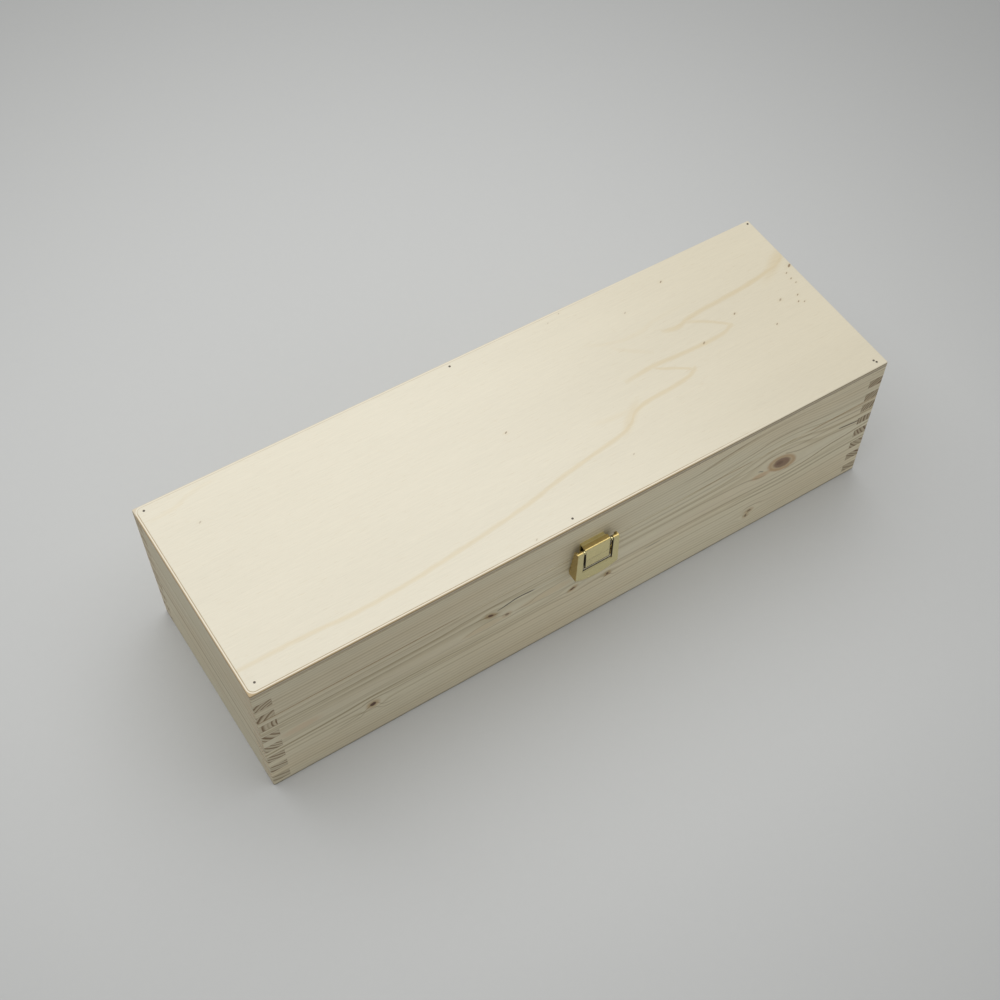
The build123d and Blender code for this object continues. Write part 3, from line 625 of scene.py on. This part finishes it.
# ---------------------------------------------------------------- plywood
VENEER_LEFT = (0.745, 0.695, 0.565)
VENEER_RIGHT = (0.632, 0.575, 0.440)
FIGURE_TINT = (0.935, 0.865, 0.735)
FIGURE_LINES = [
    (
        1.6,
        [
            (-175, -43.0, 0.45), (-155, -42.8, 0.55), (-140, -43.0, 0.60), (-115, -44.2, 0.60),
            (-85, -42.8, 0.60), (-65, -40.8, 0.60), (-45, -38.5, 0.60), (-20, -35.0, 0.65),
            (0, -30.8, 0.65), (25, -26.8, 0.7), (37, -25.0, 0.7), (45, -22.0, 0.8), (52, -16.6, 0.8),
            (60, -14.8, 0.75), (75, -14.0, 0.7), (85, -12.8, 0.7), (90.5, -10.6, 0.6), (93, -9.4, 0.0),
        ],
    ),
    (1.6, [(57, 0.4, 0.0), (63, 1.0, 0.5), (75, 1.8, 0.7), (90, 1.0, 0.7), (105, 0.3, 0.7),
           (115, 0.6, 0.65), (122, 2.7, 0.6), (125, 3.8, 0.0)]),
    (1.4, [(73.5, 1.6, 0.0), (75, 0.4, 0.5), (77, -1.5, 0.6), (83, -4.6, 0.6), (88, -8.0, 0.6),
           (91, -10.4, 0.4), (92, -11.2, 0.0)]),
    (1.6, [(103, 17.4, 0.0), (108, 15.2, 0.5), (115, 11.0, 0.55), (120, 7.0, 0.55), (123.5, 4.0, 0.5),
           (125, 2.8, 0.0)]),
    (1.8, [(91, 18.0, 0.0), (94, 16.9, 0.5), (100, 16.0, 0.7), (106, 17.6, 0.7), (118, 19.0, 0.7),
           (140, 20.0, 0.75), (160, 22.5, 0.8), (168, 24.2, 0.8), (175, 30.5, 0.8)]),
    (1.6, [(-172, 46.8, 0.0), (-165, 47.0, 0.2), (-158, 47.6, 0.25), (-150, 51.0, 0.2),
           (-140, 52.5, 0.15), (-130, 53.0, 0.0), (50, 31.0, 0.0), (56, 28.8, 0.1), (66, 24.8, 0.2),
           (80, 22.9, 0.2), (92, 25.6, 0.15), (118, 27.2, 0.0)]),
    (2.0, [(28, -12.0, 0.0), (36, -14.0, 0.2), (50, -15.0, 0.2), (58, -16.0, 0.0),
           (61, 23.0, 0.0), (68, 18.0, 0.2), (76, 12.0, 0.2), (81, 9.0, 0.0)]),
]
# Small pin knots of the face veneer: (x, y, radius, darkness).
PIN_KNOTS = [
    (-152.0, 34.5, 0.8, 0.35),
    (-8.0, 5.0, 0.8, 0.70),
    (-29.0, -53.8, 0.7, 0.35),
    (110.5, 45.3, 0.8, 0.75),
    (129.5, 8.3, 0.8, 0.75),
    (105.0, 0.8, 1.0, 0.60),
    (143.5, -8.4, 0.7, 0.70),
    (155.0, 3.7, 1.0, 0.60),
    (162.2, -2.0, 0.7, 0.75),
    (164.8, -3.6, 0.6, 0.70),
    (164.6, 1.8, 0.7, 0.75),
    (168.7, 12.4, 0.7, 0.70),
    (169.2, 9.0, 0.6, 0.65),
    (169.0, 16.6, 0.7, 0.70),
    (173.4, 20.0, 1.3, 0.85),
    (36.0, -37.3, 0.7, 0.35),
    (54.5, 54.5, 0.6, 0.35),
    (46.5, 52.0, 0.6, 0.30),
    (83.0, 37.5, 0.8, 0.35),
]
PIN_KNOT_BROWN = (0.20, 0.13, 0.07)
PORE_TINT = (0.86, 0.78, 0.66)
VENEER_ROUND = 4.0      # the face veneer's worn outline has rounder corners than the panel
BORDER = 1.15           # how far inboard the face veneer is sanded away
ARRIS = 0.45            # the very edge of the top is darkened: painted shade, partly dirt
CORE_CREAM = (0.83, 0.76, 0.62)
EDGE_WOOD = (0.58, 0.51, 0.38)
GLUE_AND_SHADE_TINT = (0.60, 0.50, 0.36)
GLUE_AT = 0.6           # glue lines on the panel's edge, measured down from the top; down to the first, the edge is darkened with painted shade, partly dirt
CORE = 2.1


def veneer_ground(s, seed):
    fibre = s.noise((20.0, 0.60, 0.60), seed, 2.0, 0.6)
    fine = s.noise((6.0, 0.32, 0.32), seed + 2.0, 2.0, 0.65)
    cloud = s.noise((160.0, 34.0, 34.0), seed + 4.0, 1.0)
    # The veneer is paler at the left end and darker and browner towards the right.
    toward_right = s.x.smooth(-60.0, 190.0)
    colour = s.mix(toward_right, VENEER_LEFT, VENEER_RIGHT)
    colour = s.brightness(colour, cloud * 0.08 + fibre * 0.09 + fine * 0.10)
    pores = s.noise((5.0, 0.24, 0.24), seed + 6.0, 1.0).smooth(0.16, 0.30)
    colour = s.tint(colour, pores * 0.5, PORE_TINT)
    return colour, fibre, fine


def top_plywood():
    s = Surface("plywood_top")
    colour, fibre, fine = veneer_ground(s, 80.0)
    facing_up = s.normal[2].smooth(0.90, 0.99)
    ragged = s.noise((8.0, 3.0, 3.0), 82.0, 2.0)
    across = s.y + ragged * 1.2
    figure = s.strokes(s.x, across, FIGURE_LINES)
    broad = s.spot(s.x, across, (47.5, -18.6), (7.5, 3.0), 0.75, 0.7) * 0.45
    broad = broad.at_least(s.spot(s.x, across, (169.0, 26.2), (10.0, 3.2), 0.6, 0.8) * 0.6)
    colour = s.tint(colour, figure.at_least(broad) * facing_up, FIGURE_TINT)
    for x, y, radius, darkness in PIN_KNOTS:
        halo = s.spot(s.x, s.y, (x, y), (2.2 * radius, 1.4 * radius), 0.0, 0.5)
        core = s.spot(s.x, s.y, (x, y), (0.85 * radius, 0.5 * radius), 0.5, 0.4)
        colour = s.tint(colour, halo * 0.3 * darkness, FIGURE_TINT)
        colour = s.mix(core * facing_up * darkness, colour, PIN_KNOT_BROWN)

    # The sanded border, where the core shows between a glue line and a dark edge of painted shade, partly
    # dirt.
    past_x = (s.x.absolute() - (HALF_LENGTH - VENEER_ROUND)).at_least(0.0)
    past_y = (s.y.absolute() - (HALF_WIDTH - VENEER_ROUND)).at_least(0.0)
    edge = VENEER_ROUND - (past_x * past_x + past_y * past_y) ** 0.5 + ragged * 0.16
    shown = s.x.smooth(120.0, 40.0) * (s.y.smooth(54.5, 52.0) * 0.6 + 0.4)
    strip = edge.smooth(BORDER + 0.1, BORDER - 0.1) * shown
    colour = s.mix(strip * 0.75, colour, CORE_CREAM)
    glue = edge.smooth(BORDER + 0.45, BORDER + 0.15) * edge.smooth(BORDER - 0.2, BORDER + 0.05)
    glue = glue * (s.noise((6.0, 6.0, 6.0), 86.0) * 0.7 + 0.95) * shown
    colour = s.tint(colour, glue * facing_up, GLUE_AND_SHADE_TINT)
    # Painted shade, partly dirt: the top is darkened along its very edge.
    arris = edge.smooth(ARRIS + 0.2, ARRIS - 0.1) * shown
    colour = s.tint(colour, arris, GLUE_AND_SHADE_TINT)

    drop = TOP - s.z + ragged * 0.08
    sides = s.brightness(EDGE_WOOD, s.noise((2.0, 2.0, 0.25), 84.0, 2.0) * 0.22)
    # Painted shade, partly dirt: the edge is darkened from the top down to the first glue line.
    sides = s.tint(sides, drop.smooth(GLUE_AT + 0.45, GLUE_AT), GLUE_AND_SHADE_TINT)
    sides = s.tint(sides, drop.smooth(CORE - 0.1, CORE) * drop.smooth(CORE + 0.3, CORE + 0.2), GLUE_AND_SHADE_TINT)
    colour = s.mix(s.normal[2].absolute().smooth(0.55, 0.25), colour, sides)
    s.rough(fine + fibre * 0.6, 0.03)
    s.rough(1.0 - glue, 0.10)
    return s.finish(colour, fibre * 0.10 + 0.55, specular=0.3)


BOTTOM_FIGURE_LINES = [
    (0.8, [(-165, 20.0, 0.5), (-90, 23.0, 0.7), (-10, 17.0, 0.7), (70, 11.0, 0.7), (165, 9.0, 0.5)]),
    (0.8, [(-165, -24.0, 0.5), (-70, -21.0, 0.6), (20, -27.0, 0.7), (165, -33.0, 0.5)]),
]


def bottom_plywood():
    s = Surface("plywood_bottom")
    colour, fibre, fine = veneer_ground(s, 90.0)
    across = s.y + s.noise((8.0, 3.0, 3.0), 92.0, 2.0) * 0.9
    colour = s.tint(colour, s.strokes(s.x, across, BOTTOM_FIGURE_LINES), FIGURE_TINT)
    s.rough(fine + fibre * 0.6, 0.03)
    return s.finish(colour, fibre * 0.10 + 0.55, specular=0.3)


# ---------------------------------------------------------------- metal
HINGE_BRASS = (0.72, 0.62, 0.36)
LATCH_BRASS = (0.74, 0.66, 0.35)
ASIDE_REFLECTION_TINT = (0.62, 0.50, 0.32)     # painted reflection: browner on the latch's sides and tops, standing in for the wood they reflect
SEAM_SHADE = (0.030, 0.022, 0.012)
STEEL_BROWN = (0.12, 0.105, 0.09)
LATCH_X = (HOOK_LOW[0] + HOOK_HIGH[0]) / 2
HOOK_HALF = (HOOK_HIGH[0] - HOOK_LOW[0]) / 2
HOOK_FOOT = HOOK_LOW[2]
HOOK_BEND = HOOK_HIGH[2] - 1.4      # the plate bends back towards the lid from here
HOOK_CREASE = HOOK_FOOT + 5.7
WINDOW_HALF = HOOK_HALF + 1.05      # the lever's window, with its gap round the plate
WINDOW_FOOT = HOOK_FOOT - 1.8


def brass(name, seed, colour, roughness, seams=None):
    """Satin brass. seams is a function of the surface that gives 1 where shade is painted in its seams."""
    s = Surface(name)
    cloud = s.noise((6.0, 6.0, 6.0), seed, 3.0, 0.6)
    brushed = s.noise((4.0, 0.25, 0.12), seed + 2.0, 2.0)
    shade = s.brightness(colour, cloud * 0.12 + brushed * 0.05)
    dull = cloud * 0.14 + brushed * 0.08 + roughness
    metallic = 1.0
    if seams is not None:
        # Painted reflection: sides and tops are tinted browner, standing in for the shaded wood they
        # mirror.
        aside_reflection = s.normal[0].absolute().at_least(s.normal[2]).smooth(0.6, 0.95)
        shade = s.tint(shade, aside_reflection * 0.8, ASIDE_REFLECTION_TINT)
        # Painted shade: the seams turn a near-black brown, rougher and less metallic, standing in for the
        # shadow in the gaps.
        seam_shade = seams(s)
        shade = s.mix(seam_shade, shade, SEAM_SHADE)
        dull = dull + seam_shade * 0.5
        metallic = 1.0 - seam_shade
    s.rough(brushed, 0.002)
    s.rough(cloud, 0.006)
    return s.finish(shade, dull, metallic=metallic, specular=0.5)


def hook_seam_shade(s):
    """Painted shade: dark along the hook plate's rim in the lever's window, where the gap lies in shadow,
    and fainter along a crease across the plate.
    """
    rim = (HOOK_HALF - (s.x - LATCH_X).absolute()).at_most(s.z - HOOK_FOOT)
    crease = 1.0 - ((s.z - HOOK_CREASE) / 0.3).absolute().at_most(1.0)
    below_bend = s.z.smooth(HOOK_BEND + 0.4, HOOK_BEND - 0.4)
    return (rim.smooth(0.55, 0.25) * below_bend).at_least(crease * below_bend * 0.45)


def lever_seam_shade(s):
    """Painted shade: dark along the rim of the lever's window, where the gap round the plate lies in
    shadow.
    """
    off = ((s.x - LATCH_X).absolute() - WINDOW_HALF).at_least(WINDOW_FOOT - s.z)
    in_front = s.z.smooth(WINDOW_FOOT - 3.0, WINDOW_FOOT - 2.0)
    return off.smooth(0.40, 0.15) * in_front


def steel(name, seed):
    s = Surface(name)
    cloud = s.noise((0.8, 0.8, 0.8), seed, 2.0)
    shade = s.brightness(STEEL_BROWN, cloud * 0.7)
    s.rough(cloud, 0.03)
    return s.finish(shade, cloud * 0.3 + 0.5, metallic=0.8)


LOOKS = {
    "front": front_pine(),
    "back": back_pine(),
    "left": left_pine(),
    "right": right_pine(),
    "top": top_plywood(),
    "bottom": bottom_plywood(),
    "nails": steel("steel_nails", 100.0),
    "hinges": brass("brass_hinges", 110.0, HINGE_BRASS, 0.30),
    "latch": brass("brass_latch", 120.0, LATCH_BRASS, 0.24),
    "lever": brass("brass_lever", 120.0, LATCH_BRASS, 0.24, lever_seam_shade),
    "hook": brass("brass_hook", 130.0, LATCH_BRASS, 0.24, hook_seam_shade),
}
LOOK_OF = {
    "front": ["front_board", "lid_front_rail"],
    "back": ["back_board", "lid_back_rail"],
    "left": ["left_end_board", "lid_left_rail"],
    "right": ["right_end_board", "lid_right_rail"],
    "top": ["lid_top_panel"],
    "bottom": ["bottom_panel"],
    "nails": ["bottom_nails", "lid_top_nails"],
    "latch": [
        "clasp_base",
        "clasp_base_nails",
        "lever_pins",
        "hook_pin",
        "clasp_keeper",
        "keeper_nails",
    ],
    "lever": ["clasp_lever"],
    "hook": ["clasp_hook"],
    "hinges": [
        "left_hinge_box_leaf",
        "left_hinge_lid_leaf",
        "left_hinge_pin",
        "right_hinge_box_leaf",
        "right_hinge_lid_leaf",
        "right_hinge_pin",
        "hinge_box_nails",
        "hinge_lid_nails",
    ],
}
for look, names in LOOK_OF.items():
    for node_name in names:
        materials = NODES[node_name].data.materials
        materials.clear()
        materials.append(LOOKS[look])


# ---------------------------------------------------------------- floor, light and camera
FLOOR_HALF = 6.0  # metres
FLOOR_LIT = (0.555, 0.561, 0.553)
FLOOR_DIM = (0.330, 0.333, 0.328)
FLOOR_LIGHT_CENTRE = (-50.0, 50.0)        # mm; painted light: the floor is brightest here
FLOOR_LIGHT_FALLOFF = (130.0, 690.0)


def make_floor():
    mesh = bpy.data.meshes.new("floor")
    corners = [(-1, -1), (1, -1), (1, 1), (-1, 1)]
    mesh.from_pydata([(FLOOR_HALF * a, FLOOR_HALF * b, 0.0) for a, b in corners], [], [(0, 1, 2, 3)])
    floor = bpy.data.objects.new("floor", mesh)
    bpy.context.scene.collection.objects.link(floor)
    s = Surface("floor_paper")
    off_x = s.x - FLOOR_LIGHT_CENTRE[0]
    off_y = s.y - FLOOR_LIGHT_CENTRE[1]
    # Painted light: the floor darkens away from the centre, standing in for the light's falloff towards the
    # corners.
    light_falloff = ((off_x * off_x + off_y * off_y) ** 0.5).smooth(*FLOOR_LIGHT_FALLOFF)
    colour = s.mix(light_falloff, FLOOR_LIT, FLOOR_DIM)
    colour = s.brightness(colour, s.noise((3.0, 3.0, 3.0), 5.0, 3.0) * 0.02)
    mesh.materials.append(s.finish(colour, 0.9, specular=0.1))


def make_world(light, background):
    world = bpy.data.worlds.new("studio")
    bpy.context.scene.world = world
    world.use_nodes = True
    tree = world.node_tree
    shader = tree.nodes["Background"]
    path = tree.nodes.new("ShaderNodeLightPath")
    seen = Signal(tree, path.outputs["Is Camera Ray"])
    seen = seen.at_least(Signal(tree, path.outputs["Is Glossy Ray"]))
    seen = seen.at_least(Signal(tree, path.outputs["Is Transmission Ray"]))
    shader.inputs["Color"].default_value = (1.0, 1.0, 1.0, 1.0)
    feed(tree, seen * (background - light) + light, shader.inputs["Strength"])


def make_softbox(name, place, aim, size, power):
    lamp = bpy.data.lights.new(name, "AREA")
    lamp.shape = "SQUARE"
    lamp.size = size
    lamp.energy = power
    holder = bpy.data.objects.new(name, lamp)
    holder.location = place
    holder.rotation_euler = (Vector(aim) - Vector(place)).to_track_quat("-Z", "Y").to_euler()
    bpy.context.scene.collection.objects.link(holder)


FOCAL = 54.303
SHIFT = (-0.05, 0.12)
EYE = (-0.25095, -0.36846, 0.64585)
SIGHT_RIGHT = Vector((0.834707, -0.549731, 0.032557))
SIGHT_UP = Vector((0.455019, 0.721784, 0.521522))


def make_camera():
    lens = bpy.data.cameras.new("camera")
    lens.lens = FOCAL
    lens.sensor_width = 36.0
    lens.shift_x, lens.shift_y = SHIFT
    lens.clip_start = 0.01
    camera = bpy.data.objects.new("camera", lens)
    back = SIGHT_RIGHT.cross(SIGHT_UP)
    turn = Matrix((SIGHT_RIGHT, SIGHT_UP, back)).transposed()
    camera.matrix_world = Matrix.Translation(EYE) @ turn.to_4x4()
    bpy.context.scene.collection.objects.link(camera)
    bpy.context.scene.camera = camera


make_floor()
make_world(light=0.35, background=0.5)
make_softbox("key", place=(0.05, 0.30, 1.25), aim=(0.0, 0.03, 0.0), size=2.1, power=20.5)
make_camera()
bpy.context.scene.view_settings.view_transform = "Standard"
